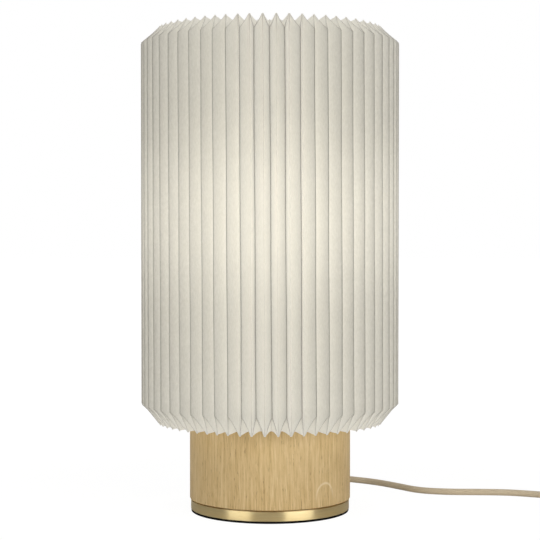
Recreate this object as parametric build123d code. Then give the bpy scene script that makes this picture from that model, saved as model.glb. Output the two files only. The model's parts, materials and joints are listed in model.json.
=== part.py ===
from build123d import *
import math
import os

# Pleated paper table lamp on an oak drum. Millimetres. z = 0 is the table top, +Z is up and the
# lamp's axis is x = y = 0. -Y is the front, and the mains lead leaves at the back, +Y.

# ---- Fits ----------------------------------------------------------------------------------
slip = 0.3  # gap round what lifts off or rests loosely
snug = 0.1  # radial gap of a fixed piece in its hole
weld = 0.05  # gap at a welded or soldered touch
turn_gap = 0.06  # radial gap of the rocker on its pin

# ---- Oak drum, brass ring and what closes the base -------------------------------------------
pad_inset = 0.6  # of the pad's edge behind the brass
pad_t = 1.2
ring_inset = 2.0  # of the brass behind the oak
ring_wall = 2.5
ring_h = 8.4
ring_chamfer = 0.4
reveal = 0.4  # shadow line between the brass and the oak
drum_r = 62.5
drum_h = 69.0
spigot_wall = 7.9  # the oak that reaches down into the brass ring
drum_top_t = 14.0
drum_edge = 0.8
plate_t = 2.0
ballast_gap = 6.0  # round the ballast
ballast_t = 8.0
plate_screw_count = 4
plate_screw_r = 1.75
plate_screw_head_r = 3.4
plate_screw_l = 16.0
ballast_screw_count = 2
ballast_screw_edge = 14.0  # from the ballast's edge
ballast_screw_l = 8.0

# ---- Stem and lampholder ---------------------------------------------------------------------
stem_r = 5.0  # M10 threaded tube
stem_bore_r = 3.6
stem_below = 10.0  # of the tube under the drum's top board
stem_in_cap = 10.0
washer_r = 11.0
washer_t = 1.5
nut_flats = 14.0
nut_t = 5.0
locator_r = 39.7
locator_t = 5.0
sleeve_r = 8.0
sleeve_h = 44.0
cap_neck_r = 9.0
cap_neck_h = 7.0
cap_cone_h = 11.0
cap_r = 18.6
cap_rim_h = 6.0
cap_wall = 2.2
insert_t = 6.0
shell_r = 20.6
shell_h = 34.0
shell_overlap = 8.0  # of the shell down over the cap and the insert
thread_r = 13.4  # inside of the lampholder's brass thread
thread_t = 0.7
thread_h = 21.0
contact_r = 3.0
contact_h = 3.0
grub_r = 1.5
grub_l = 4.0

# ---- Bulb ------------------------------------------------------------------------------------
bulb_tip_r = 4.7
bulb_tip_t = 1.2
insulator_h = 2.8
insulator_top_r = 12.2
bulb_cap_r = 13.2
bulb_cap_h = 22.0
bulb_cap_wall = 0.5
globe_r = 30.0
globe_rise = 45.0  # from the cap's lip to the globe's centre
globe_neck_r = 13.6
flare_r = 20.0  # between the neck and the globe
globe_wall = 1.0

# ---- Pleated shade and its wire frame -----------------------------------------------------------
pleats = 58
shade_r = 100.0  # outer folds
pleat_depth = 14.6
shade_h = 306.0
shade_drop = 11.0  # the shade hangs this far below the drum's top
collar_low = 15.0  # height of the tucked corners at the bottom rim
collar_top = 12.4
tuck_r = 73.0  # inner points of the tucked corners
tuck_low = 5.5  # their height inside the bottom rim's plane
tuck_top = 2.5
scallop_low = 6.4  # height of the middle of a tuck's free edge inside the bottom rim's plane
scallop_top = 5.6
paper_t = 0.4
wire_r = 1.5
carrier_r = 54.0
carrier_t = 2.0
arm_start_r = 44.0
arm_count = 3

# ---- Mains lead ----------------------------------------------------------------------------------
lead_r = 2.6
outlet_z = 17.0  # height of the lead's outlet in the drum
grommet_r = 4.5
grommet_lip_r = 6.5
grommet_lip_t = 2.0
grommet_nose_l = 24.0
grommet_tip_r = 3.4
lead_bend = 25.0  # inside the base, from the outlet up into the stem
lead_above_stem = 4.0
clamp_w = 24.0
clamp_d = 9.0
clamp_inset = 12.0  # of the clamp's middle from the hollow's wall
clamp_over = 4.0  # of the clamp above the lead
clamp_screw_r = 1.5
clamp_screw_head_r = 2.8
clamp_screw_head_t = 2.0
clamp_screw_x = 8.0
clamp_screw_bite = 4.0
core_r = 1.1
core_gap = 2.6
bend_share = 0.45  # share of the shorter run that an arc's tangent takes

# ---- Coil of put-away lead ----------------------------------------------------------------------
coil_low_r = 21.6  # tightest turn, at the lead's middle
coil_pitch = 5.7  # from turn to turn, sideways and upwards
coil_turns = 7.5
coil_reversals = (1.75, 3.75, 5.75)  # turns after which the winding changes layer
coil_y = -88.0
tie_t = 0.6
tie_w = 6.0
tie_gap = 0.4

# ---- In-line switch ---------------------------------------------------------------------------
switch_w = 26.0
switch_l = 60.0
switch_h = 15.0
switch_split = 6.5  # parting line, and the height at which the lead enters
switch_wall = 1.8
switch_x = 233.0
switch_y = -22.0
switch_fillet = 3.0
rocker_w = 10.6
rocker_l = 19.2
rocker_rise = 2.4  # of its ridge above the cover
rocker_fall = 1.3  # its ends lie this far below the ridge
rocker_deep = 3.4  # below its pin
rocker_tilt = 8.0  # degrees, pressed down on one side
pin_r = 1.0
pin_below = 2.6  # pin under the cover's top face
lug_t = 3.0
switch_screw_r = 1.2
switch_screw_head_r = 2.3
switch_screw_head_t = 1.4
boss_r = 3.2
boss_x = 8.6
boss_y = 24.0
terminal = (5.0, 4.0, 3.6)
terminal_y = 12.5

# ---- Flat two-pin plug ----------------------------------------------------------------------------
plug_w = 35.0
plug_neck_w = 20.0
plug_l = 36.0
plug_h = 14.0
plug_edge = 2.5
plug_x = 286.0
plug_y = -6.0  # where the lead enters its relief
relief_l = 22.0
relief_r = 5.0
prong_r = 2.0
prong_core_r = 1.4
prong_l = 19.0
prong_sleeve_l = 10.0
prong_pitch = 18.6

# ---- Heights and radii that follow ---------------------------------------------------------------
ring_r = drum_r - ring_inset
ring_bore_r = ring_r - ring_wall
pad_r = ring_r - pad_inset
ring_top = pad_t + ring_h
drum_low = ring_top + reveal
drum_top = drum_low + drum_h
spigot_r = ring_bore_r - snug
spigot_low = pad_t + plate_t
hollow_r = spigot_r - spigot_wall
hollow_top = drum_top - drum_top_t
plate_screw_pitch_r = (hollow_r + spigot_r) / 2
ballast_r = hollow_r - ballast_gap
ballast_top = spigot_low + ballast_t
ballast_screw_pitch_r = ballast_r - ballast_screw_edge
clamp_y = hollow_r - clamp_inset
clamp_top = outlet_z + lead_r + clamp_over
locator_top = drum_top + locator_t
cap_low = locator_top + sleeve_h
cap_cone_low = cap_low + cap_neck_h
cap_cone_top = cap_cone_low + cap_cone_h
cap_top = cap_cone_top + cap_rim_h
insert_top = cap_top + insert_t
shell_low = insert_top - shell_overlap
shell_top = shell_low + shell_h
stem_low = hollow_top - stem_below
stem_top = cap_low + stem_in_cap
bulb_low = insert_top + contact_h
insulator_low = bulb_low + bulb_tip_t
bulb_cap_low = insulator_low + insulator_h
bulb_lip = bulb_cap_low + bulb_cap_h
globe_z = bulb_lip + globe_rise
valley_r = shade_r - pleat_depth
half_pleat = math.pi / pleats
shade_low = drum_top - shade_drop
shade_top = shade_low + shade_h
carrier_top = drum_top + carrier_t
arm_z = carrier_top + wire_r + weld
lead_floor_z = lead_r + snug
coil_floor_z = lead_r + tie_t + 2 * snug
coil_start_r = coil_low_r + coil_pitch * coil_reversals[0]
coil_x = switch_x + coil_start_r  # the lead runs straight on from the switch into the coil
coil_layers = len(coil_reversals) + 1
coil_top_z = coil_floor_z + coil_pitch * (coil_layers - 1)
grommet_y = drum_r  # the lip lies against the oak
grommet_tip_y = grommet_y + grommet_lip_t + grommet_nose_l
pin_z = switch_h - pin_below

FOOT = (Align.CENTER, Align.CENTER, Align.MIN)


# ---- Helpers --------------------------------------------------------------------------------------
def keep(shape, name):
    """Writes one node and prints its volume in cubic millimetres."""
    export_step(shape, f"parts/{name}.step")
    print(f"{name}: {shape.volume:.1f} mm3")


def turned(*outline):
    """A solid turned about the lamp's axis from a closed outline of (radius, height) points."""
    return revolve(make_face(Polyline(*[(r, 0, z) for r, z in outline], close=True)), Axis.Z)


def disc(radius, low, top, x=0.0, y=0.0):
    """An upright round bar or disc between two heights."""
    return Pos(x, y, low) * Cylinder(radius, top - low, align=FOOT)


def tube(outer, inner, low, top):
    """An upright tube about the lamp's axis."""
    return turned((inner, low), (outer, low), (outer, top), (inner, top))


def along_y(radius, start, end, x=0.0, z=0.0):
    """A round bar along Y between two places."""
    return Pos(x, start, z) * Rot(-90, 0, 0) * Cylinder(radius, end - start, align=FOOT)


def cone_along_y(start_r, end_r, start, end, x=0.0, z=0.0):
    """A taper along Y between two places."""
    return Pos(x, start, z) * Rot(-90, 0, 0) * Cone(start_r, end_r, end - start, align=FOOT)


def screw_up(x, y, low, shank_r, head_r, length, ease=0.0):
    """A countersunk screw driven upwards, or its hole where ease widens it."""
    head_h = head_r - shank_r
    head = Pos(x, y, low) * Cone(head_r + ease, shank_r + ease, head_h, align=FOOT)
    return head + disc(shank_r + ease, low + head_h, low + length + ease, x, y)


def round_places(count, radius, first_deg=0.0):
    """Places evenly spaced on a circle about the lamp's axis."""
    angles = [math.radians(first_deg + 360 * i / count) for i in range(count)]
    return [(radius * math.cos(a), radius * math.sin(a)) for a in angles]


def corner_radii(points):
    """The largest arcs that the runs of a route leave room for, one for each corner."""
    radii = []
    for before, corner, after in zip(points, points[1:], points[2:]):
        run_in = Vector(*corner) - Vector(*before)
        run_out = Vector(*after) - Vector(*corner)
        half_turn = math.radians(run_in.get_angle(run_out)) / 2
        shorter = min(run_in.length, run_out.length)
        radii.append(bend_share * shorter / math.tan(half_turn))
    return radii


def lead_along(path):
    """The lead's round jacket along a path."""
    return sweep(Plane(origin=path @ 0, z_dir=path % 0) * Circle(lead_r), path=path)


def loose_lead(name, points):
    """A free stretch of lead, as straight runs joined by tangent arcs."""
    radii = corner_radii(points)
    path = FilletPolyline(*points, radius=radii)
    solid = lead_along(path)
    expected = math.pi * lead_r**2 * path.length
    print(f"{name}: length {path.length:.1f}, radii", ", ".join(f"{r:.0f}" for r in radii))
    print(f"{name}: volume over section times length {solid.volume / expected:.4f}")
    keep(solid, name)
    return path.length


# ---- Base -------------------------------------------------------------------------------------------
def make_base():
    screw_places = round_places(plate_screw_count, plate_screw_pitch_r, 45)
    ballast_places = round_places(ballast_screw_count, ballast_screw_pitch_r)
    outlet = along_y(grommet_r + snug, 0, 2 * drum_r, z=outlet_z)

    keep(disc(pad_r, 0, pad_t), "foot_pad")

    plate = disc(spigot_r, pad_t, spigot_low)
    screws, weights = [], []
    for x, y in screw_places:
        size = (plate_screw_r, plate_screw_head_r, plate_screw_l)
        plate -= screw_up(x, y, pad_t, *size, snug)
        screws.append(screw_up(x, y, pad_t, *size))
    for x, y in ballast_places:
        size = (plate_screw_r, plate_screw_head_r, ballast_screw_l)
        plate -= screw_up(x, y, pad_t, *size, snug)
        weights.append(screw_up(x, y, pad_t, *size))
    keep(plate, "bottom_plate")
    keep(Compound(screws), "plate_screws")
    keep(Compound(weights), "ballast_screws")

    ring = turned(
        (ring_bore_r, pad_t),
        (ring_r - ring_chamfer, pad_t),
        (ring_r, pad_t + ring_chamfer),
        (ring_r, ring_top - ring_chamfer),
        (ring_r - ring_chamfer, ring_top),
        (ring_bore_r, ring_top),
    )
    keep(ring, "brass_ring")

    drum = turned(
        (stem_r + snug, drum_top),
        (stem_r + snug, hollow_top),
        (hollow_r, hollow_top),
        (hollow_r, spigot_low),
        (spigot_r, spigot_low),
        (spigot_r, drum_low),
        (drum_r - drum_edge, drum_low),
        (drum_r, drum_low + drum_edge),
        (drum_r, drum_top - drum_edge),
        (drum_r - drum_edge, drum_top),
    )
    drum -= outlet
    for x, y in screw_places:
        drum -= screw_up(x, y, pad_t, plate_screw_r, plate_screw_head_r, plate_screw_l, snug)
    keep(drum, "oak_drum")

    ballast = disc(ballast_r, spigot_low, ballast_top)
    for x, y in ballast_places:
        ballast -= disc(plate_screw_r + snug, spigot_low, ballast_top, x, y)
    for x in (-clamp_screw_x, clamp_screw_x):
        low = ballast_top - clamp_screw_bite - snug
        ballast -= disc(clamp_screw_r + snug, low, ballast_top, x, clamp_y)
    keep(ballast, "ballast")


# ---- Stem and lampholder ------------------------------------------------------------------------------
def make_stem():
    keep(tube(stem_r, stem_bore_r, stem_low, stem_top), "stem_tube")
    washer_low = hollow_top - washer_t
    keep(tube(washer_r, stem_r + snug, washer_low, hollow_top), "stem_washer")
    nut = RegularPolygon(nut_flats / 2, 6, major_radius=False) - Circle(stem_r + snug)
    keep(Pos(0, 0, washer_low - nut_t) * extrude(nut, nut_t), "stem_nut")
    keep(tube(locator_r, stem_r + snug, drum_top, locator_top), "locator_disc")
    keep(tube(sleeve_r, stem_r + snug, locator_top, cap_low), "stem_sleeve")


def make_lampholder():
    grub_z = cap_low + cap_neck_h / 2
    grub_start = stem_r + snug
    cap = turned(
        (stem_r + snug, cap_low),
        (cap_neck_r, cap_low),
        (cap_neck_r, cap_cone_low),
        (cap_r, cap_cone_top),
        (cap_r, cap_top),
        (cap_r - cap_wall, cap_top),
        (cap_r - cap_wall, cap_cone_top),
        (cap_neck_r, cap_cone_low + cap_wall),
        (stem_r + snug, cap_cone_low + cap_wall),
    )
    cap -= along_y(grub_r + snug, grub_start, 2 * cap_neck_r, z=grub_z)
    keep(cap, "holder_cap")
    keep(along_y(grub_r, grub_start, grub_start + grub_l, z=grub_z), "holder_grub_screw")

    insert = disc(cap_r, cap_top, insert_top)
    for x in (-core_gap, core_gap):
        insert -= disc(core_r + snug, cap_top, cap_top + insert_t / 2, x)
    keep(insert, "holder_insert")

    shoulder_r = thread_r + thread_t + snug
    shell = turned(
        (cap_r + snug, shell_low),
        (shell_r, shell_low),
        (shell_r, shell_top - cap_wall),
        (shell_r - cap_wall, shell_top),
        (shoulder_r, shell_top),
        (shoulder_r, insert_top),
        (cap_r + snug, insert_top),
    )
    keep(shell, "holder_shell")
    keep(tube(thread_r + thread_t, thread_r, insert_top, insert_top + thread_h), "holder_thread")
    keep(disc(contact_r, insert_top, bulb_low), "holder_contact")


def make_bulb():
    keep(disc(bulb_tip_r, bulb_low, insulator_low), "bulb_tip")
    insulator = Cone(bulb_tip_r, insulator_top_r, insulator_h, align=FOOT)
    keep(Pos(0, 0, insulator_low) * insulator, "bulb_insulator")
    cap = disc(bulb_cap_r, bulb_cap_low, bulb_lip)
    cap -= disc(bulb_cap_r - bulb_cap_wall, bulb_cap_low + bulb_cap_wall, bulb_lip)
    keep(cap, "bulb_cap")
    keep(globe_solid(0) - globe_solid(globe_wall), "bulb_globe")


def globe_solid(inset):
    """The bulb's outline turned solid, this far inside its glass: neck, flare and globe."""
    flare_x = globe_neck_r + flare_r
    flare_z = globe_z - math.sqrt((globe_r + flare_r) ** 2 - flare_x**2)
    flare = Vector(flare_x, 0, flare_z)
    inwards = Vector(-1, 0, 0)
    to_globe = (Vector(0, 0, globe_z) - flare).normalized()
    shoulder = flare + inwards * (flare_r + inset)
    waist = flare + (inwards + to_globe).normalized() * (flare_r + inset)
    meet = flare + to_globe * (flare_r + inset)
    low = Vector(0, 0, bulb_lip)
    lip = Vector(globe_neck_r - inset, 0, bulb_lip)
    side = Vector(globe_r - inset, 0, globe_z)
    top = Vector(0, 0, globe_z + globe_r - inset)
    edges = [
        Line(low, lip),
        Line(lip, shoulder),
        ThreePointArc(shoulder, waist, meet),
        ThreePointArc(meet, side, top),
        Line(top, low),
    ]
    return revolve(make_face(Curve() + edges), Axis.Z)


# ---- Pleated shade ---------------------------------------------------------------------------------------
def fold_point(radius, half_steps, height):
    """A corner of the folded sheet, so many half pleats round from the front fold."""
    angle = half_steps * half_pleat - math.pi / 2
    return (radius * math.cos(angle), radius * math.sin(angle), height)


def rim_corners(fold_z, rim_z, tuck_z, dip_z, inward):
    """(radius, half pleats, height) of fold end, rim, dip and tuck, on both faces of the sheet.

    A pleat's outer fold ends at fold_z, short of the rim. Its corner beyond that is tucked
    inwards and creased down to the tuck point, and its free edge sags to the dip between rim
    and tuck. inward is 1 at the bottom rim and -1 at the top. Half pleats are counted from the
    outer fold. The inner face lies paper_t behind the outer one.
    """
    fold = Vector(shade_r, 0, fold_z)
    rim = Vector(valley_r * math.cos(half_pleat), valley_r * math.sin(half_pleat), rim_z)
    tuck = Vector(tuck_r, 0, tuck_z)
    dip = Vector((rim.X + tuck.X) / 2, rim.Y / 2, dip_z)
    wall = Vector(0, 0, 1).cross(rim - fold).normalized()
    facet = (fold - dip).cross(rim - dip).normalized() * inward
    tucked = (fold - tuck).cross(dip - tuck).normalized() * inward
    valley = Vector(math.cos(half_pleat), math.sin(half_pleat), 0)

    fold_in = paper_t / wall.X
    fold_lift = (paper_t - tucked.X * fold_in) / tucked.Z
    rim_in = paper_t / wall.dot(valley)
    rim_lift = (paper_t - facet.dot(valley) * rim_in) / facet.Z
    square = Vector(tuck_z - fold_z, 0, shade_r - tuck_r).normalized() * inward
    behind = square * (paper_t / tucked.dot(square))
    dip_in = dip + (facet + tucked).normalized() * paper_t
    dip_r, dip_in_r = math.hypot(dip.X, dip.Y), math.hypot(dip_in.X, dip_in.Y)
    dip_at, dip_in_at = math.atan2(dip.Y, dip.X), math.atan2(dip_in.Y, dip_in.X)
    outer = (
        (shade_r, 0, fold_z),
        (valley_r, 1, rim_z),
        (dip_r, dip_at / half_pleat, dip_z),
        (tuck_r, 0, tuck_z),
    )
    inner = (
        (shade_r + fold_in, 0, fold_z + fold_lift),
        (valley_r + rim_in, 1, rim_z + rim_lift),
        (dip_in_r, dip_in_at / half_pleat, dip_in.Z),
        (tuck_r + behind.X, 0, tuck_z + behind.Z),
    )
    return outer, inner


def shade_corners():
    low, top = shade_low, shade_top
    at_bottom = (low + collar_low, low, low + tuck_low, low + scallop_low)
    at_top = (top - collar_top, top, top - tuck_top, top - scallop_top)
    return rim_corners(*at_bottom, 1), rim_corners(*at_top, -1)


def flat(*points):
    return Face(Wire.make_polygon([Vector(*p) for p in points], close=True))


def half_pleat_faces(ridge, side, low, top):
    """Both faces of the sheet, and its free edges, from one outer fold to the next inner one."""
    faces, free = [], []
    for layer in (0, 1):
        ends = []
        for corners in (low[layer], top[layer]):
            fold, rim, dip, tuck = (
                fold_point(radius, ridge + side * steps, height) for radius, steps, height in corners
            )
            faces += [flat(fold, rim, dip), flat(fold, dip, tuck)]
            ends.append((fold, rim, dip, tuck))
        faces.append(flat(ends[0][0], ends[1][0], ends[1][1], ends[0][1]))
        free.append(ends)
    for outer, inner in zip(*free):
        for start, end in ((1, 2), (2, 3)):
            faces.append(flat(outer[start], outer[end], inner[end]))
            faces.append(flat(outer[start], inner[end], inner[start]))
    return faces


def make_shade():
    low, top = shade_corners()
    faces = []
    for ridge in range(0, 2 * pleats, 2):
        for side in (-1, 1):
            faces += half_pleat_faces(ridge, side, low, top)
    keep(Solid(Shell(faces)), "paper_shade")


def make_frame():
    low, top = shade_corners()
    (fold_r, _, fold_z), (inner_valley_r, _, _), (dip_r, _, dip_z), _ = top[1]
    hoop_r = inner_valley_r - slip - wire_r
    slope = (fold_z - dip_z) / (fold_r - dip_r)
    crease_z = dip_z + slope * (hoop_r - dip_r)
    top_hoop_z = crease_z - (wire_r + slip) * math.hypot(1, slope)
    upright_r = hoop_r - 2 * wire_r - weld

    carrier = tube(carrier_r, locator_r + slip, drum_top, carrier_top)
    keep(carrier, "shade_carrier_plate")
    keep(Pos(0, 0, arm_z) * Torus(hoop_r, wire_r), "lower_hoop")
    keep(Pos(0, 0, top_hoop_z) * Torus(hoop_r, wire_r), "upper_hoop")
    arms, uprights = [], []
    arm_l = hoop_r - wire_r - weld - arm_start_r
    for x, y in round_places(arm_count, 1, 90):
        direction = Plane(origin=(x * arm_start_r, y * arm_start_r, arm_z), z_dir=(x, y, 0))
        arms.append(direction * Cylinder(wire_r, arm_l, align=FOOT))
        foot = arm_z + wire_r + weld
        uprights.append(disc(wire_r, foot, top_hoop_z + wire_r, x * upright_r, y * upright_r))
    keep(Compound(arms), "frame_arms")
    keep(Compound(uprights), "frame_uprights")


# ---- Lead inside the lamp ------------------------------------------------------------------------------
def make_lead_fittings():
    inner_lip = hollow_r - grommet_lip_t
    grommet = along_y(grommet_r, inner_lip, grommet_y, z=outlet_z)
    grommet += along_y(grommet_lip_r, grommet_y, grommet_y + grommet_lip_t, z=outlet_z)
    grommet += along_y(
        grommet_r + grommet_lip_t / 4, inner_lip - grommet_lip_t, inner_lip, z=outlet_z
    )
    nose = grommet_y + grommet_lip_t
    grommet += cone_along_y(grommet_r, grommet_tip_r, nose, grommet_tip_y, z=outlet_z)
    grommet -= along_y(lead_r + snug, inner_lip - 2 * grommet_lip_t, grommet_tip_y, z=outlet_z)
    keep(grommet, "lead_grommet")

    lead_top = stem_top + lead_above_stem
    path = FilletPolyline(
        (0, grommet_tip_y, outlet_z), (0, 0, outlet_z), (0, 0, lead_top), radius=lead_bend
    )
    keep(lead_along(path), "lead_in_base")

    block = Pos(0, clamp_y, ballast_top) * Box(
        clamp_w, clamp_d, clamp_top - ballast_top, align=FOOT
    )
    block -= along_y(lead_r + snug, clamp_y - clamp_d, clamp_y + clamp_d, z=outlet_z)
    screws = []
    for x in (-clamp_screw_x, clamp_screw_x):
        block -= disc(clamp_screw_r + snug, ballast_top, clamp_top, x, clamp_y)
        shank = disc(clamp_screw_r, ballast_top - clamp_screw_bite, clamp_top, x, clamp_y)
        head_top = clamp_top + clamp_screw_head_t
        screws.append(shank + disc(clamp_screw_head_r, clamp_top, head_top, x, clamp_y))
    keep(block, "lead_clamp")
    keep(Compound(screws), "clamp_screws")

    cores = []
    for x in (-core_gap, core_gap):
        at = x * (lead_r - core_r) / core_gap
        route = ((at, 0, lead_top), (at, 0, lead_top + 2), (x, 0, lead_top + 5), (x, 0, cap_top + 2))
        line = Polyline(*route)
        cores.append(sweep(Plane(origin=line @ 0, z_dir=line % 0) * Circle(core_r), path=line,
                           transition=Transition.ROUND))
    keep(Compound(cores), "core_wires")


# ---- Lead outside the lamp --------------------------------------------------------------------------------
def make_free_leads():
    floor = lead_floor_z
    switch_back = switch_y + switch_l / 2
    switch_front = switch_y - switch_l / 2
    from_lamp = [
        (0, grommet_tip_y, outlet_z),
        (0, 102, outlet_z),
        (3, 117, 11.5),
        (11.5, 131, 5),
        (27, 140.5, floor),
        (48, 139.5, floor),
        (70, 127, floor),
        (91, 112, floor),
        (108, 91, floor),
        (123, 70, floor),
        (146, 62.5, floor),
        (171, 62, floor),
        (197, 60, floor),
        (219, 50, floor),
        (229.5, 36, 4.0),
        (switch_x, 22, switch_split),
        (switch_x, switch_back, switch_split),
    ]
    to_coil = [
        (switch_x, switch_front, switch_split),
        (switch_x, -62, switch_split),
        (switch_x, -72.6, coil_floor_z),
        (switch_x, coil_y + 2 * lead_r, coil_floor_z),
    ]
    to_plug = [
        (coil_x + coil_start_r, coil_y + 2 * lead_r, coil_top_z),
        (coil_x + coil_start_r, -66, coil_top_z),
        (292.5, -50, 14.8),
        (287.2, -35.5, 8.6),
        (plug_x, -20.5, plug_h / 2),
        (plug_x, plug_y, plug_h / 2),
    ]
    return (
        loose_lead("lead_to_switch", from_lamp),
        loose_lead("lead_to_coil", to_coil) + loose_lead("lead_to_plug", to_plug),
    )


def coil_sample(turn):
    """Place and direction of the lead after so many turns, and the coil's sideways slope."""
    radius = coil_start_r
    height = coil_floor_z
    inward, done, slope, climb = -1, 0.0, 0.0, 0.0
    for reversal in (*coil_reversals, coil_turns):
        span = min(turn, reversal) - done
        if span > 0:
            radius += inward * coil_pitch * span
            slope = inward * coil_pitch / (2 * math.pi)
        done, inward = max(done, min(turn, reversal)), -inward
    for reversal in coil_reversals:
        part = min(max((turn - reversal + 0.25) / 0.5, 0.0), 1.0)
        height += coil_pitch * (1 - math.cos(math.pi * part)) / 2
        if 0 < part < 1:
            climb = coil_pitch * math.sin(math.pi * part) / 2
        if abs(turn - reversal) < 1e-9:
            slope = 0.0
    if turn in (0, coil_turns):
        slope = 0.0
    angle = math.pi + 2 * math.pi * turn
    out, ahead = (math.cos(angle), math.sin(angle)), (-math.sin(angle), math.cos(angle))
    place = Vector(coil_x + radius * out[0], coil_y + radius * out[1], height)
    along = Vector(
        radius * ahead[0] + slope * out[0], radius * ahead[1] + slope * out[1], climb
    )
    return place, along.normalized()


def biarc(start, along, end, leave):
    """Two tangent arcs from one place and direction to another."""
    across = end - start
    both = along + leave
    spread = 2 * (1 - along.dot(leave))
    reach = (math.sqrt(across.dot(both) ** 2 + spread * across.dot(across)) - across.dot(both)) / spread
    corner_a, corner_b = start + along * reach, end - leave * reach
    middle = (corner_a + corner_b) * 0.5
    return [
        TangentArc(start, middle, tangent=along),
        TangentArc(middle, end, tangent=(corner_b - corner_a).normalized()),
    ]


def make_coil():
    quarters = [coil_sample(i / 4) for i in range(int(4 * coil_turns) + 1)]
    first, last = quarters[0], quarters[-1]
    arcs = []
    for (start, along), (end, leave) in zip(quarters, quarters[1:]):
        arcs += biarc(start, along, end, leave)
    ends = (
        Line(first[0] - first[1] * 2 * lead_r, first[0]),
        Line(last[0], last[0] + last[1] * 2 * lead_r),
    )
    path = Wire([edge for part in (ends[0], *arcs, ends[1]) for edge in part.edges()])
    solid = lead_along(path)
    expected = math.pi * lead_r**2 * path.length
    print(f"lead_coil: length {path.length:.1f}, self gap {coil_self_gap(arcs):.2f}")
    print(f"lead_coil: volume over section times length {solid.volume / expected:.4f}")
    keep(solid, "lead_coil")
    return path.length


def coil_self_gap(arcs):
    """The least gap between two turns of the coil, measured on points along it."""
    steps = 6
    points = [arc @ (i / steps) for arc in arcs for i in range(steps)]
    far = 3 * steps  # points nearer along the lead than this are neighbours on one turn
    least = min(
        (a - b).length for i, a in enumerate(points) for b in points[i + far :]
    )
    return least - 2 * lead_r


def make_tie():
    middle_r = coil_start_r - coil_pitch * 0.75  # two turns lie each side of it at the front
    half_w = coil_pitch / 2 + lead_r + tie_gap
    low, top = coil_floor_z - lead_r - snug, coil_top_z + lead_r + snug
    inside = (2 * half_w, top - low)
    corner = lead_r / 2
    outline = RectangleRounded(inside[0] + 2 * tie_t, inside[1] + 2 * tie_t, corner + tie_t)
    outline -= RectangleRounded(*inside, corner)
    across = Plane(
        origin=(coil_x - tie_w / 2, coil_y - middle_r, (low + top) / 2),
        x_dir=(0, 1, 0), z_dir=(1, 0, 0),
    )
    keep(extrude(across * outline, tie_w), "coil_tie")


# ---- In-line switch ---------------------------------------------------------------------------------------
def switch_block(low, top, inset=0.0):
    corner = switch_fillet + 1 - inset / 2
    outline = RectangleRounded(switch_w - 2 * inset, switch_l - 2 * inset, corner)
    return Pos(0, 0, low) * extrude(outline, top - low)


def make_switch():
    place = Pos(switch_x, switch_y, 0)
    bosses = ((boss_x, boss_y), (-boss_x, -boss_y))
    window_l = rocker_l + 2 * (slip + rocker_rise)
    lug_x = rocker_w / 2 + slip
    pin_half = lug_x + lug_t - slip

    lower = switch_block(0, switch_split) - switch_block(switch_wall, switch_split, switch_wall)
    top_in = switch_h - switch_wall
    upper = switch_block(switch_split, switch_h)
    upper = fillet(upper.faces().sort_by(Axis.Z)[-1].edges(), switch_fillet / 2)
    upper -= switch_block(switch_split, top_in, switch_wall)
    upper -= Pos(0, 0, top_in) * Box(rocker_w + 2 * slip, window_l, 2 * switch_wall, align=FOOT)
    for side in (-1, 1):
        lug_low = pin_z - pin_r - lug_t / 2
        upper += Pos(side * (lug_x + lug_t / 2), 0, lug_low) * Box(
            lug_t, 2 * lug_t, top_in - lug_low, align=FOOT
        )
    pin_hole = Pos(-pin_half - snug, 0, pin_z) * Rot(0, 90, 0) * Cylinder(
        pin_r + turn_gap, 2 * (pin_half + snug), align=FOOT
    )
    screws = []
    for x, y in bosses:
        lower += disc(boss_r, switch_wall, switch_split, x, y)
        upper += disc(boss_r, switch_split, top_in, x, y)
        for ease, keep_it in ((snug, False), (0.0, True)):
            shank = disc(switch_screw_r + ease, 0, top_in - switch_wall + ease, x, y)
            screw = shank + disc(switch_screw_head_r + ease, 0, switch_screw_head_t + ease, x, y)
            if keep_it:
                screws.append(place * screw)
            else:
                lower -= screw
                upper -= screw
    upper -= pin_hole
    keep(place * lower, "switch_lower_shell")
    keep(place * upper, "switch_upper_shell")
    keep(Compound(screws), "switch_screws")

    pin = Pos(-pin_half, 0, pin_z) * Rot(0, 90, 0) * Cylinder(pin_r, 2 * pin_half, align=FOOT)
    keep(place * pin, "rocker_pin")
    ridge = switch_h + rocker_rise
    outline = Polyline(
        (0, -rocker_l / 2, ridge - rocker_fall),
        (0, 0, ridge),
        (0, rocker_l / 2, ridge - rocker_fall),
        (0, rocker_l / 2, pin_z),
        (0, rocker_l / 4, pin_z - rocker_deep),
        (0, -rocker_l / 4, pin_z - rocker_deep),
        (0, -rocker_l / 2, pin_z),
        close=True,
    )
    rocker = extrude(make_face(outline), rocker_w / 2, both=True, dir=(1, 0, 0)) - pin_hole
    tilt = Pos(0, 0, pin_z) * Rot(-rocker_tilt, 0, 0) * Pos(0, 0, -pin_z)
    keep(place * tilt * rocker, "switch_rocker")
    blocks = [
        place * Pos(0, side * terminal_y, switch_wall) * Box(*terminal, align=FOOT)
        for side in (-1, 1)
    ]
    keep(Compound(blocks), "switch_terminals")


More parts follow.
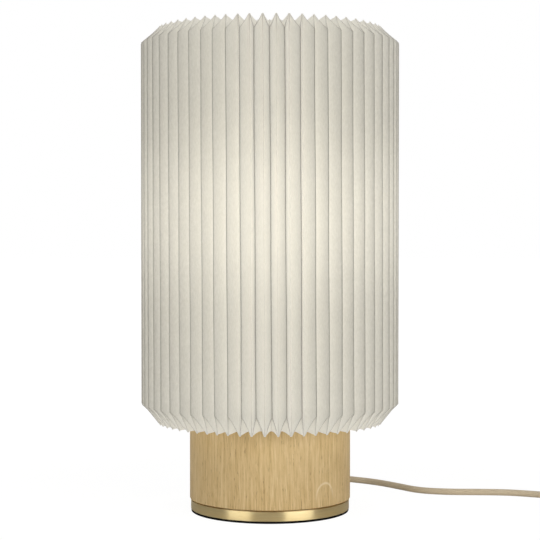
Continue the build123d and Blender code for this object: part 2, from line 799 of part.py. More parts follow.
# ---- Plug -----------------------------------------------------------------------------------------------
def make_plug():
    place = Pos(plug_x, plug_y, plug_h / 2)
    body_start = relief_l
    body_end = body_start + plug_l
    keep(place * cone_along_y(grommet_tip_r, relief_r, 0, relief_l), "plug_relief")
    outline = Polyline(
        (-plug_neck_w / 2, body_start),
        (plug_neck_w / 2, body_start),
        (plug_w / 2, body_end - plug_l / 3),
        (plug_w / 2, body_end),
        (-plug_w / 2, body_end),
        (-plug_w / 2, body_end - plug_l / 3),
        close=True,
    )
    body = Pos(0, 0, -plug_h / 2) * extrude(make_face(outline), plug_h)
    body = fillet(body.edges(), plug_edge)
    keep(place * body, "plug_body")
    prongs, sleeves = [], []
    for x in (-prong_pitch / 2, prong_pitch / 2):
        tip_start = body_end + prong_sleeve_l
        tip = along_y(prong_r, tip_start, body_end + prong_l, x)
        tip = chamfer(tip.edges().group_by(Axis.Y)[-1], prong_r / 3)
        prongs.append(place * (along_y(prong_core_r, body_end, tip_start, x) + tip))
        sleeve = along_y(prong_r, body_end, tip_start, x)
        sleeves.append(place * (sleeve - along_y(prong_core_r + weld, body_end, tip_start, x)))
    keep(Compound(prongs), "plug_prongs")
    keep(Compound(sleeves), "prong_sleeves")


make_base()
make_stem()
make_lampholder()
make_bulb()
make_shade()
make_frame()
make_lead_fittings()
before_switch, after_switch = make_free_leads()
wound = make_coil()
make_tie()
make_switch()
make_plug()
total = before_switch + after_switch + wound + switch_l
print(f"mains lead, lamp to plug with its switch: {total:.0f} mm")
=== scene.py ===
import json
import math

import bpy
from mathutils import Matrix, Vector


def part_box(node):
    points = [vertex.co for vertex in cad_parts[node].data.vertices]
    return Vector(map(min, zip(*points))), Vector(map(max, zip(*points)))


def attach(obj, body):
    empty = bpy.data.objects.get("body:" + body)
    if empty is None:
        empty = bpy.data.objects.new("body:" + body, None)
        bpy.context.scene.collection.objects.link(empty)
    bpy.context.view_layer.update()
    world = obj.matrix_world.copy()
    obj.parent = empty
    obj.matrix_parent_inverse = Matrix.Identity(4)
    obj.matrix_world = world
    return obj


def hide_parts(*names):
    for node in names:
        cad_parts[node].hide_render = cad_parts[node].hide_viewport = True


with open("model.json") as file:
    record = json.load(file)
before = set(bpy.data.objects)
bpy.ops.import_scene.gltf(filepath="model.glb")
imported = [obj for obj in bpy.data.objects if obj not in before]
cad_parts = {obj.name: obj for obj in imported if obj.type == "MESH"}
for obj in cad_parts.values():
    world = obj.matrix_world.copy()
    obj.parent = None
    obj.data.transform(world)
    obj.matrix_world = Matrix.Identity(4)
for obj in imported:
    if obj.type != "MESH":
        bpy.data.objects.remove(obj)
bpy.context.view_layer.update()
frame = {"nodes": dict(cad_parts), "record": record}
MM = 0.001

# ---- Sizes in millimetres
# The shade: its outer folds, inner folds and rims, the slanting collars, and the paper.
PLEATS = 58
SHADE_R, VALLEY_R = 100.0, 85.4
SHADE_LOW, SHADE_TOP = 68.0, 374.0
COLLAR_LOW, COLLAR_TOP = 15.8, 12.4
PAPER_T = 0.4
FOLD_SOFT = 0.6
FOLD_LINE, LONG_FOLD_SHARE = 0.8, 0.5
# Heights of the slanting rim creases, at shares of the way from an outer fold to an inner one.
LOW_SLANT = ((0.25, 80.4), (0.5, 76.0), (0.75, 71.4))
TOP_SLANT = ((0.3, 365.1), (0.62, 369.2))
# The tucked corner's inner point, and how its free edge bows at each quarter of its way there.
LOW_TUCK_R, LOW_TUCK_Z, LOW_BOW = 66.5, 69.6, (0.2, 0.6, 0.6)
TOP_TUCK_R, TOP_TUCK_Z, TOP_BOW = 73.0, 371.5, (-0.7, -1.6, -2.1)

# The drum, ring and pad, and what stands on them.
DRUM_R, DRUM_LOW, DRUM_TOP = 62.5, 10.0, 79.0
WELL_R, WELL_TOP, SPIGOT_R, SPIGOT_LOW = 50.0, 65.0, 57.9, 3.2
RING_IN_R, RING_OUT_R, RING_TOP = 58.0, 61.7, 9.0
PAD_R, PAD_T = 61.4, 1.7
OUTLET_R, OUTLET_Z = 4.6, 17.0
STEM_R = 5.1
DISC_LOW, DISC_TOP = 79.05, 84.0
HOLDER_LOW = 128.0
THREAD_PITCH, THREAD_TURNS = 3.6, 5
GLOBE_R, GLASS_T = 30.0, 1.0
WIRE_R, HOOP_R, ARM_Z, HIGH_HOOP_Z = 1.5, 82.46, 82.55, 365.05

# The lead, of which the two lengths are in metres, the switch, the coil and the plug.
LEAD_R = 2.6
LEAD_LENGTHS = (0.333, 1.394)
SWITCH_X, SWITCH_Y, SWITCH_L, SWITCH_SPLIT = 233.0, -22.0, 60.0, 6.5
PLUG_X, PLUG_Y, PLUG_H = 286.0, -6.0, 14.0
COIL_LOW_R, COIL_PITCH, COIL_TURNS = 21.6, 5.7, 7.5
COIL_REVERSALS = (1.75, 3.75, 5.75)
COIL_START_R = COIL_LOW_R + COIL_PITCH * COIL_REVERSALS[0]
COIL_X, COIL_Y = SWITCH_X + COIL_START_R, -88.0
COIL_FLOOR_Z = LEAD_R + 0.8
COIL_TOP_Z = COIL_FLOOR_Z + 3 * COIL_PITCH

# ---- Camera and light
# The eye and what it looks at in metres, the lens and its sensor in millimetres.
EYE, AIM, LENS, SENSOR = (0.0, -1.169, 0.214), (0.0, 0.0, 0.187), 100.0, 36.0
# The lamps in watts, and how bright the room is to the lamp.
LEFT_W, RIGHT_W, TOP_W, BULB_W = 7.5, 11.4, 19.0, 0.6
ROOM = 0.18
# The shade's glow, painted light in the paper's emission: what an inner fold has over an outer
# one, how fast that comes, what is there all over, and what the bulb adds at its own height and
# as far up and down as it reaches.
GLOW, GLOW_POWER, GLOW_EVEN = 0.51, 0.42, 0.055
HOT, HOT_REACH, BULB_Z = 0.11, 90.0, 228.0
# How far from the bulb's height the tucked rims begin and end, and the shares of the painted
# glow left at them and at a pressed fold, where it is painted shade.
RIM_FROM, RIM_TO, RIM_SHARE, FOLD_SHARE = 136.0, 158.0, 0.86, 0.1


# ---- Colours and materials
def colour(hex_value):
    """An sRGB hex colour as Blender's linear numbers."""
    channels = [int(hex_value[i : i + 2], 16) / 255 for i in (1, 3, 5)]
    linear = [c / 12.92 if c <= 0.04045 else ((c + 0.055) / 1.055) ** 2.4 for c in channels]
    return (*linear, 1.0)


def add(tree, kind, *inputs, stops=(), **named):
    """Adds one node with its settings and links.

    Inputs fill its sockets in order. A name with a capital is a socket too, with underscores for
    spaces, and any other name is a setting. A socket gets a value, or a link from an output, and
    a node given alone stands for its first output. Stops are a ramp's places and hex colours.
    """
    node = tree.nodes.new("ShaderNode" + kind)
    for name, setting in named.items():
        if name[0].islower():
            setattr(node, name, setting)
    sockets = {socket.identifier.replace("_", " "): socket for socket in node.inputs}
    wanted = [(sockets[name.replace("_", " ")], named[name]) for name in named if name[0].isupper()]
    for socket, value in [*zip(node.inputs, inputs), *wanted]:
        if isinstance(value, bpy.types.Node):
            value = value.outputs[0]
        if isinstance(value, bpy.types.NodeSocket):
            tree.links.new(value, socket)
        else:
            socket.default_value = value
    for i, (position, hex_value) in enumerate(stops):
        elements = node.color_ramp.elements
        element = elements[i] if i < len(elements) else elements.new(position)
        element.position, element.color = position, colour(hex_value)
    return node


def new_material(name):
    """An empty material, its node tree, and the place on the piece that its patterns read."""
    material = bpy.data.materials.new(name)
    material.use_nodes = True
    tree = material.node_tree
    tree.nodes.clear()
    return material, tree, add(tree, "TexCoord").outputs["Object"]


def make_paper():
    """Coated lampshade paper, creased by machine: matt, pale greige and finely flecked.

    The shade's glow is painted light in the paper's emission: least at its outer folds, where the
    doubled paper stands away from the bulb, and most at its inner folds, and more round the bulb
    than at its ends. The pressed folds get a thin line of painted shade, darker and glowing less,
    which the piece's own "fold" attribute marks.
    """
    material, tree, place = new_material("shade_paper")
    fold = add(tree, "Attribute", attribute_name="fold").outputs["Fac"]
    # Clouds of 14 mm, as held up to the light, and flecks of 1 mm that follow the paper's run.
    cloud = add(tree, "TexNoise", Vector=place, Scale=70.0, Detail=3.0)
    run = add(tree, "Mapping", Vector=place, Scale=(1, 1, 0.4))
    speck = add(tree, "TexNoise", Vector=run, Scale=900.0, Detail=2.0, Roughness=0.6)
    plain = add(tree, "ValToRGB", speck, stops=[(0.3, "#C7C5BD"), (0.7, "#D2D0C9")])
    # Painted shade: along the pressed folds the paper's colour darkens to a brown line.
    tone = add(tree, "Mix", fold, A_Color=plain, B_Color=colour("#6F5F50"), data_type="RGBA")
    tone = tone.outputs[2]
    relief = add(tree, "Bump", Height=speck, Distance=0.00005, Strength=0.4)

    axes = add(tree, "SeparateXYZ", place).outputs
    level = add(tree, "CombineXYZ", axes["X"], axes["Y"])
    radius = add(tree, "VectorMath", level, operation="LENGTH").outputs["Value"]
    depth = add(tree, "MapRange", radius, (SHADE_R + 0.1) * MM, (VALLEY_R + 1.4) * MM)
    depth = add(tree, "Math", depth, GLOW_POWER, operation="POWER")
    # The painted glow's contrast across the folds grows by about a sixth from the shade's top to
    # its foot.
    lower = add(tree, "MapRange", axes["Z"], SHADE_TOP * MM, SHADE_LOW * MM, 0.92, 1.08)
    depth = add(tree, "Math", depth, lower, operation="MULTIPLY")
    # Painted light of the bulb: the glow is raised within reach of the bulb's height.
    away = add(tree, "Math", axes["Z"], BULB_Z * MM, operation="SUBTRACT")
    away = add(tree, "Math", away, operation="ABSOLUTE")
    near = add(tree, "MapRange", away, HOT_REACH * MM, 0.0, interpolation_type="SMOOTHERSTEP")
    lit = add(tree, "Math", depth, GLOW, GLOW_EVEN, operation="MULTIPLY_ADD")
    lit = add(tree, "Math", near, HOT, lit, operation="MULTIPLY_ADD")
    # The folded-in corners at the rims are two and three papers thick, so the painted glow is
    # turned down there, by height away from the bulb.
    rim = add(tree, "MapRange", away, RIM_FROM * MM, RIM_TO * MM, 1.0, RIM_SHARE)
    thickness = add(tree, "MapRange", cloud, 0.2, 0.8, 0.96, 1.04)
    # Painted shade: the glow drops to a small share along the pressed folds.
    pressed = add(tree, "MapRange", fold, 0.0, 1.0, 1.0, FOLD_SHARE)
    for share in (rim, thickness, pressed):
        lit = add(tree, "Math", lit, share, operation="MULTIPLY")
    light = add(tree, "ValToRGB", lit, stops=[(0.0, "#000000"), (1.0, "#FFFDF7")])

    face = add(tree, "BsdfPrincipled", Base_Color=tone, Roughness=0.62, Normal=relief,
               Specular_IOR_Level=0.35, Emission_Color=light, Emission_Strength=1.0)
    through = add(tree, "BsdfTranslucent", Color=tone, Normal=relief)
    add(tree, "OutputMaterial", add(tree, "MixShader", 0.5, face, through))
    return material


def make_oak():
    """Turned oak with a hard-wax oil finish: fine wavy grain up the drum, pores and a ray fleck."""
    material, tree, place = new_material("oak")
    # Slow drifts push the grain sideways, so its lines wander and bunch as they rise.
    tall = add(tree, "Mapping", Vector=place, Scale=(1, 1, 0.3))
    drift = add(tree, "TexNoise", Vector=tall, Scale=22.0, Detail=3.0).outputs["Color"]
    push = add(tree, "VectorMath", drift, (0.5, 0.5, 0.5), operation="SUBTRACT")
    push = add(tree, "VectorMath", push, (0.012, 0.012, 0.0), operation="MULTIPLY")
    place = add(tree, "VectorMath", place, push, operation="ADD")

    # Yearly bands about 2 mm wide, fibre streaks of half a millimetre, pores 3 to 6 mm long, and
    # the broad tones of the boards that the drum is glued from.
    grain = []
    for stretch, scale, detail, roughness in (
        (0.03, 650.0, 2.0, 0.5),
        (0.05, 1300.0, 3.0, 0.7),
        (0.12, 1500.0, 2.0, 0.6),
        (0.25, 34.0, 2.0, 0.5),
    ):
        upwards = add(tree, "Mapping", Vector=place, Scale=(1, 1, stretch))
        grain.append(add(tree, "TexNoise", Vector=upwards, Scale=scale, Detail=detail,
                         Roughness=roughness))
    bands, streaks, pores, boards = grain
    mixed = add(tree, "Math", bands, 0.4, operation="MULTIPLY")
    mixed = add(tree, "Math", streaks, 0.5, mixed, operation="MULTIPLY_ADD")
    mixed = add(tree, "Math", boards, 0.1, mixed, operation="MULTIPLY_ADD")
    wood = add(tree, "ValToRGB", mixed,
               stops=[(0.38, "#B89A65"), (0.46, "#C9AC78"), (0.54, "#D2B684"), (0.62, "#DCC393")])

    # A pale arch low on the front right, where a ray of the wood meets the turned face: its
    # middle and half width round the drum in radians, and its foot and rise in metres.
    arch_turn, arch_half, arch_foot, arch_rise = 0.74, 0.15, 0.016, 0.012
    axes = add(tree, "SeparateXYZ", place).outputs
    front = add(tree, "Math", axes["Y"], -1.0, operation="MULTIPLY")
    turn = add(tree, "Math", axes["X"], front, operation="ARCTAN2")
    aside = add(tree, "Math", turn, arch_turn, operation="SUBTRACT")
    aside = add(tree, "Math", aside, arch_half, operation="DIVIDE")
    above = add(tree, "Math", axes["Z"], arch_foot, operation="SUBTRACT")
    above = add(tree, "Math", above, arch_rise, operation="DIVIDE")
    reach = add(tree, "CombineXYZ", aside, above)
    reach = add(tree, "VectorMath", reach, operation="LENGTH").outputs["Value"]
    off_arch = add(tree, "Math", reach, 1.0, operation="SUBTRACT")
    off_arch = add(tree, "Math", off_arch, operation="ABSOLUTE")
    fleck = add(tree, "MapRange", off_arch, 0.11, 0.02, 0.0, 0.6)
    upper = add(tree, "MapRange", above, -0.2, 0.7)
    fleck = add(tree, "Math", fleck, upper, operation="MULTIPLY")
    wood = add(tree, "Mix", fleck, A_Color=wood, B_Color=colour("#EBD9B4"), data_type="RGBA")

    open_pores = add(tree, "MapRange", pores, 0.6, 0.7)
    dark_bands = add(tree, "MapRange", bands, 0.62, 0.42)
    open_pores = add(tree, "Math", open_pores, dark_bands, operation="MULTIPLY")
    filled = add(tree, "Math", open_pores, 0.75, operation="MULTIPLY")
    tone = add(tree, "Mix", filled, A_Color=wood.outputs[2], B_Color=colour("#7E6238"),
               data_type="RGBA")
    height = add(tree, "Math", streaks, open_pores, operation="SUBTRACT")
    relief = add(tree, "Bump", Height=height, Distance=0.00008, Strength=0.6)
    shader = add(tree, "BsdfPrincipled", Base_Color=tone.outputs[2], Roughness=0.52, Normal=relief,
                 Specular_IOR_Level=0.4)
    add(tree, "OutputMaterial", shader)
    return material


def make_brass():
    """Lacquered brass, turned and brushed round: the brushing stretches highlights upwards."""
    material, tree, place = new_material("brushed_brass")
    # Brush marks 0.4 mm apart, coarser than the real ones so that they show.
    marks = add(tree, "Mapping", Vector=place, Scale=(1, 1, 40))
    brushing = add(tree, "TexNoise", Vector=marks, Scale=60.0, Detail=4.0, Roughness=0.7)
    tone = add(tree, "ValToRGB", brushing, stops=[(0.3, "#E9D197"), (0.7, "#F6E4B4")])
    shader = add(tree, "BsdfPrincipled", Base_Color=tone, Metallic=1.0,
                 Roughness=add(tree, "MapRange", brushing, 0.3, 0.7, 0.38, 0.44),
                 Normal=add(tree, "Bump", Height=brushing, Distance=0.00002, Strength=0.3),
                 Anisotropic=1.0, Anisotropic_Rotation=0.25,
                 Tangent=add(tree, "Tangent", direction_type="RADIAL", axis="Z"))
    add(tree, "OutputMaterial", shader)
    return material


def make_plain(name, hex_value, roughness, metallic=0.0, shine=0.5):
    """A moulded, cast, drawn or painted finish: one colour, mottled by 2.5 mm, fine relief."""
    material, tree, place = new_material(name)
    mottling = add(tree, "TexNoise", Vector=place, Scale=400.0, Detail=3.0, Roughness=0.6)
    dark, pale = [(*(c * share for c in colour(hex_value)[:3]), 1.0) for share in (0.94, 1.06)]
    tone = add(tree, "Mix", mottling, A_Color=dark, B_Color=pale, data_type="RGBA").outputs[2]
    rough = add(tree, "MapRange", mottling, 0.3, 0.7, roughness * 0.9, roughness * 1.1)
    relief = add(tree, "Bump", Height=mottling, Distance=0.00003, Strength=0.4)
    shader = add(tree, "BsdfPrincipled", Base_Color=tone, Metallic=metallic, Roughness=rough,
                 Normal=relief, Specular_IOR_Level=shine)
    add(tree, "OutputMaterial", shader)
    return material


def make_textile(name, length):
    """Braided rayon over a round mains lead: pale threads crossing at a slant, soft sheen.

    Sixteen carriers go each way round, the crests and hollows of eight waves, and a thread takes
    12 mm of lead for one turn. The pattern follows the lead's own length and girth, so it is the
    same on both leads.
    """
    material, tree, place = new_material(name)
    along = add(tree, "SeparateXYZ", add(tree, "TexCoord").outputs["UV"]).outputs
    turns = add(tree, "Math", along["X"], length / 0.012, operation="MULTIPLY")
    threads = []
    for way in ("ADD", "SUBTRACT"):
        angle = add(tree, "Math", along["Y"], turns, operation=way)
        angle = add(tree, "Math", angle, 8 * math.tau, operation="MULTIPLY")
        threads.append(add(tree, "Math", angle, operation="SINE"))
    weave = add(tree, "Math", *threads, operation="MULTIPLY")
    weave = add(tree, "MapRange", weave, -0.8, 0.8, 0.0, 0.7)
    fibre = add(tree, "TexNoise", Vector=place, Scale=1800.0, Detail=2.0)
    mixed = add(tree, "Math", fibre, 0.3, weave, operation="MULTIPLY_ADD")
    tone = add(tree, "ValToRGB", mixed,
               stops=[(0.1, "#B7A07C"), (0.45, "#D9C7A8"), (0.9, "#EADDC6")])
    relief = add(tree, "Bump", Height=mixed, Distance=0.0003, Strength=0.7)
    shader = add(tree, "BsdfPrincipled", Base_Color=tone, Roughness=0.75, Normal=relief,
                 Sheen_Weight=0.25)
    add(tree, "OutputMaterial", shader)
    return material


def make_opal():
    """Blown opal glass lit from inside: an even, warm white with a smooth gloss."""
    material, tree, place = new_material("opal_glass")
    haze = add(tree, "TexNoise", Vector=place, Scale=60.0, Detail=3.0)
    tone = add(tree, "ValToRGB", haze, stops=[(0.3, "#D6D0C2"), (0.7, "#DED8CB")])
    shader = add(tree, "BsdfPrincipled", Base_Color=tone, Roughness=0.25,
                 Emission_Color=colour("#FFE9C9"), Emission_Strength=0.35)
    add(tree, "OutputMaterial", shader)
    return material


# ---- Modelling helpers
def start():
    """Object mode with nothing selected."""
    if bpy.context.object and bpy.context.object.mode != "OBJECT":
        bpy.ops.object.mode_set(mode="OBJECT")
    bpy.ops.object.select_all(action="DESELECT")


def only(obj):
    """Object mode with one object selected and active."""
    start()
    obj.select_set(True)
    bpy.context.view_layer.objects.active = obj


def pick(test, kind="VERT"):
    """In edit mode, selects only the vertices, or the edges by their middles, that pass a test."""
    mesh = bpy.context.object.data
    bpy.ops.mesh.select_mode(type=kind)
    bpy.ops.mesh.select_all(action="DESELECT")
    bpy.ops.object.mode_set(mode="OBJECT")
    places = [vertex.co for vertex in mesh.vertices]
    if kind == "VERT":
        for vertex in mesh.vertices:
            vertex.select = test(vertex.co)
    else:
        for edge in mesh.edges:
            first, last = (places[i] for i in edge.vertices)
            edge.select = test((first + last) / 2)
    bpy.ops.object.mode_set(mode="EDIT")


def traced(places):
    """Draws a chain of vertices through a list of places into a new mesh."""
    start()
    bpy.ops.mesh.primitive_plane_add(size=MM)
    bpy.ops.object.mode_set(mode="EDIT")
    bpy.ops.mesh.select_mode(type="VERT")
    bpy.ops.mesh.merge(type="CENTER")
    bpy.ops.transform.translate(value=places[0])
    for before, after in zip(places, places[1:]):
        bpy.ops.mesh.extrude_vertices_move(TRANSFORM_OT_translate={"value": after - before})
    bpy.ops.object.mode_set(mode="OBJECT")
    return bpy.context.object


def turned(outline, steps=96, closed=True):
    """Spins an outline of (radius, height) in millimetres about Z into a new mesh."""
    places = [Vector((r * MM, 0, z * MM)) for r, z in outline]
    traced(places)
    bpy.ops.object.mode_set(mode="EDIT")
    if closed:
        ends = (places[0], places[-1])
        pick(lambda co: min((co - end).length for end in ends) < 1e-6)
        bpy.ops.mesh.edge_face_add()
    bpy.ops.mesh.select_all(action="SELECT")
    bpy.ops.mesh.spin(steps=steps, angle=math.tau, center=(0, 0, 0), axis=(0, 0, 1))
    bpy.ops.mesh.select_all(action="SELECT")
    bpy.ops.mesh.remove_doubles(threshold=1e-6)
    bpy.ops.mesh.normals_make_consistent(inside=False)
    bpy.ops.object.mode_set(mode="OBJECT")
    return bpy.context.object


def bevelled(obj, width, segments=2, angle=30.0):
    """Rounds the sharp edges of a mesh."""
    modifier = obj.modifiers.new("bevel", "BEVEL")
    modifier.width = width * MM
    modifier.segments = segments
    modifier.limit_method = "ANGLE"
    modifier.angle_limit = math.radians(angle)
    applied(obj)


def applied(obj):
    """Applies every modifier of a mesh."""
    only(obj)
    for modifier in list(obj.modifiers):
        bpy.ops.object.modifier_apply(modifier=modifier.name)


def finished(obj, name, material, body, node, smooth=35.0):
    """Names and dresses a new piece, rests it at the origin, and ties it to its body.

    It takes the place of the plain solid of one node.
    """
    only(obj)
    bpy.ops.object.transform_apply(location=True, rotation=True, scale=True)
    bpy.ops.object.shade_smooth_by_angle(angle=math.radians(smooth))
    obj.name = obj.data.name = name
    obj.data.materials.clear()
    obj.data.materials.append(material)
    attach(obj, body)
    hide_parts(node)


# ---- Camera
def make_camera():
    """A long lens straight in front, a little above the middle of the lamp."""
    data = bpy.data.cameras.new("camera")
    camera = bpy.data.objects.new("camera", data)
    bpy.context.scene.collection.objects.link(camera)
    camera.location = EYE
    aim = Vector(AIM) - camera.location
    camera.rotation_euler = aim.to_track_quat("-Z", "Y").to_euler()
    data.lens, data.sensor_width = LENS, SENSOR
    bpy.context.scene.camera = camera


# ---- Mains lead
def coil_place(turn):
    """The wound lead's place after so many turns, as in the part's source."""
    radius, done, inward = COIL_START_R, 0.0, -1
    for reversal in (*COIL_REVERSALS, COIL_TURNS):
        span = max(min(turn, reversal) - done, 0.0)
        radius += inward * COIL_PITCH * span
        done, inward = done + span, -inward
    height = COIL_FLOOR_Z
    for reversal in COIL_REVERSALS:
        part = min(max((turn - reversal + 0.25) / 0.5, 0.0), 1.0)
        height += COIL_PITCH * (1 - math.cos(math.pi * part)) / 2
    return radius, math.pi + math.tau * turn, height


def coil_points(steps=16):
    """Control points of the wound lead. The line runs inside them, so they stand a little out."""
    outside = 2 / (1 + math.cos(math.pi / steps))
    points = []
    for i in range(1, int(COIL_TURNS * steps)):
        radius, angle, height = coil_place(i / steps)
        away = radius * outside
        points.append((COIL_X + away * math.cos(angle), COIL_Y + away * math.sin(angle), height))
    return points


def lead(name, points, material):
    """A round lead along a smooth line that its control points draw."""
    curve = bpy.data.curves.new(name, "CURVE")
    curve.dimensions = "3D"
    curve.bevel_depth = LEAD_R * MM
    curve.bevel_resolution = 5
    curve.resolution_u = 10
    curve.use_fill_caps = True
    spline = curve.splines.new("NURBS")
    spline.points.add(len(points) - 1)
    for point, place in zip(spline.points, points):
        point.co = (*(c * MM for c in place), 1.0)
    spline.order_u = 3
    spline.use_endpoint_u = True
    obj = bpy.data.objects.new(name, curve)
    bpy.context.scene.collection.objects.link(obj)
    curve.materials.append(material)
    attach(obj, "base")
    return obj


def make_leads(braids, plug):
    """The lead from the drum to the switch, and from there, coiled and tied, to the plug."""
    floor = LEAD_R + 0.1
    exit_y = 88.5
    from_lamp = [
        (0, exit_y, OUTLET_Z),
        (0, 102, OUTLET_Z),
        (3, 117, 11.5),
        (11.5, 131, 5),
        (27, 140.5, floor),
        (48, 139.5, floor),
        (70, 127, floor),
        (91, 112, floor),
        (108, 91, floor),
        (123, 70, floor),
        (146, 62.5, floor),
        (171, 62, floor),
        (197, 60, floor),
        (219, 50, floor),
        (229.5, 36, 4.0),
        (SWITCH_X, 22, SWITCH_SPLIT),
        (SWITCH_X, SWITCH_Y + SWITCH_L / 2, SWITCH_SPLIT),
    ]
    switch_end = (SWITCH_X, SWITCH_Y - SWITCH_L / 2, SWITCH_SPLIT)
    to_plug = [
        switch_end,
        (SWITCH_X, -62, SWITCH_SPLIT),
        (SWITCH_X, -72.6, COIL_FLOOR_Z),
        (SWITCH_X, COIL_Y, COIL_FLOOR_Z),
        *coil_points(),
        (COIL_X + COIL_START_R, COIL_Y, COIL_TOP_Z),
        (COIL_X + COIL_START_R, -66, COIL_TOP_Z),
        (292.5, -50, 14.8),
        (287.2, -35.5, 8.6),
        (PLUG_X, -20.5, PLUG_H / 2),
        (PLUG_X, PLUG_Y, PLUG_H / 2),
    ]
    first = lead("lead_lamp_to_switch", from_lamp, braids[0])
    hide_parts("lead_to_switch")
    second = lead("lead_switch_to_plug", to_plug, braids[1])
    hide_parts("lead_to_coil", "lead_coil", "lead_to_plug")


# ---- Paper shade
def put(moves):
    """In edit mode, sends each selected vertex that stands at a place to its new place."""
    mesh = bpy.context.object.data
    bpy.ops.object.mode_set(mode="OBJECT")
    for vertex in mesh.vertices:
        if vertex.select:
            for old, new in moves:
                if (vertex.co - old).length < 1e-7:
                    vertex.co = new
                    break
    bpy.ops.object.mode_set(mode="EDIT")


def pick_edges(line):
    """In edit mode, selects only the edges that run along a line of points."""
    middles = [(a + b) / 2 for a, b in zip(line, line[1:])]
    pick(lambda co: any((co - middle).length < 1e-6 for middle in middles), "EDGE")


def facet_point(across, z):
    """A place on the flat of a half pleat: 0 at the outer fold, 1 where two flats would meet."""
    half = math.pi / PLEATS
    x = VALLEY_R * math.sin(half) * across
    y = -SHADE_R + (SHADE_R - VALLEY_R * math.cos(half)) * across
    return Vector((x, y, z)) * MM


def gutter_points(z, step):
    """The soft inner fold, from the flat to the fold's middle, with its corner cut round."""
    half = math.pi / PLEATS
    outward = Vector((math.sin(half), -math.cos(half), 0))
    sideways = Vector((-math.cos(half), -math.sin(half), 0))
    flat = facet_point(0, 0) - facet_point(1, 0)
    lean = flat.angle(outward)
    centre = outward * (VALLEY_R + FOLD_SOFT / math.sin(lean))
    points = []
    # Shares of the way back round the fold's curve, and how far the rim lifts at each.
    for share, lift in ((1.0, 0.7), (0.55, 0.15), (0.0, 0.0)):
        turn = (math.pi / 2 - lean) * share
        place = centre - outward * FOLD_SOFT * math.cos(turn)
        place += sideways * FOLD_SOFT * math.sin(turn)
        points.append(Vector((place.x, place.y, z + step * lift)) * MM)
    return points


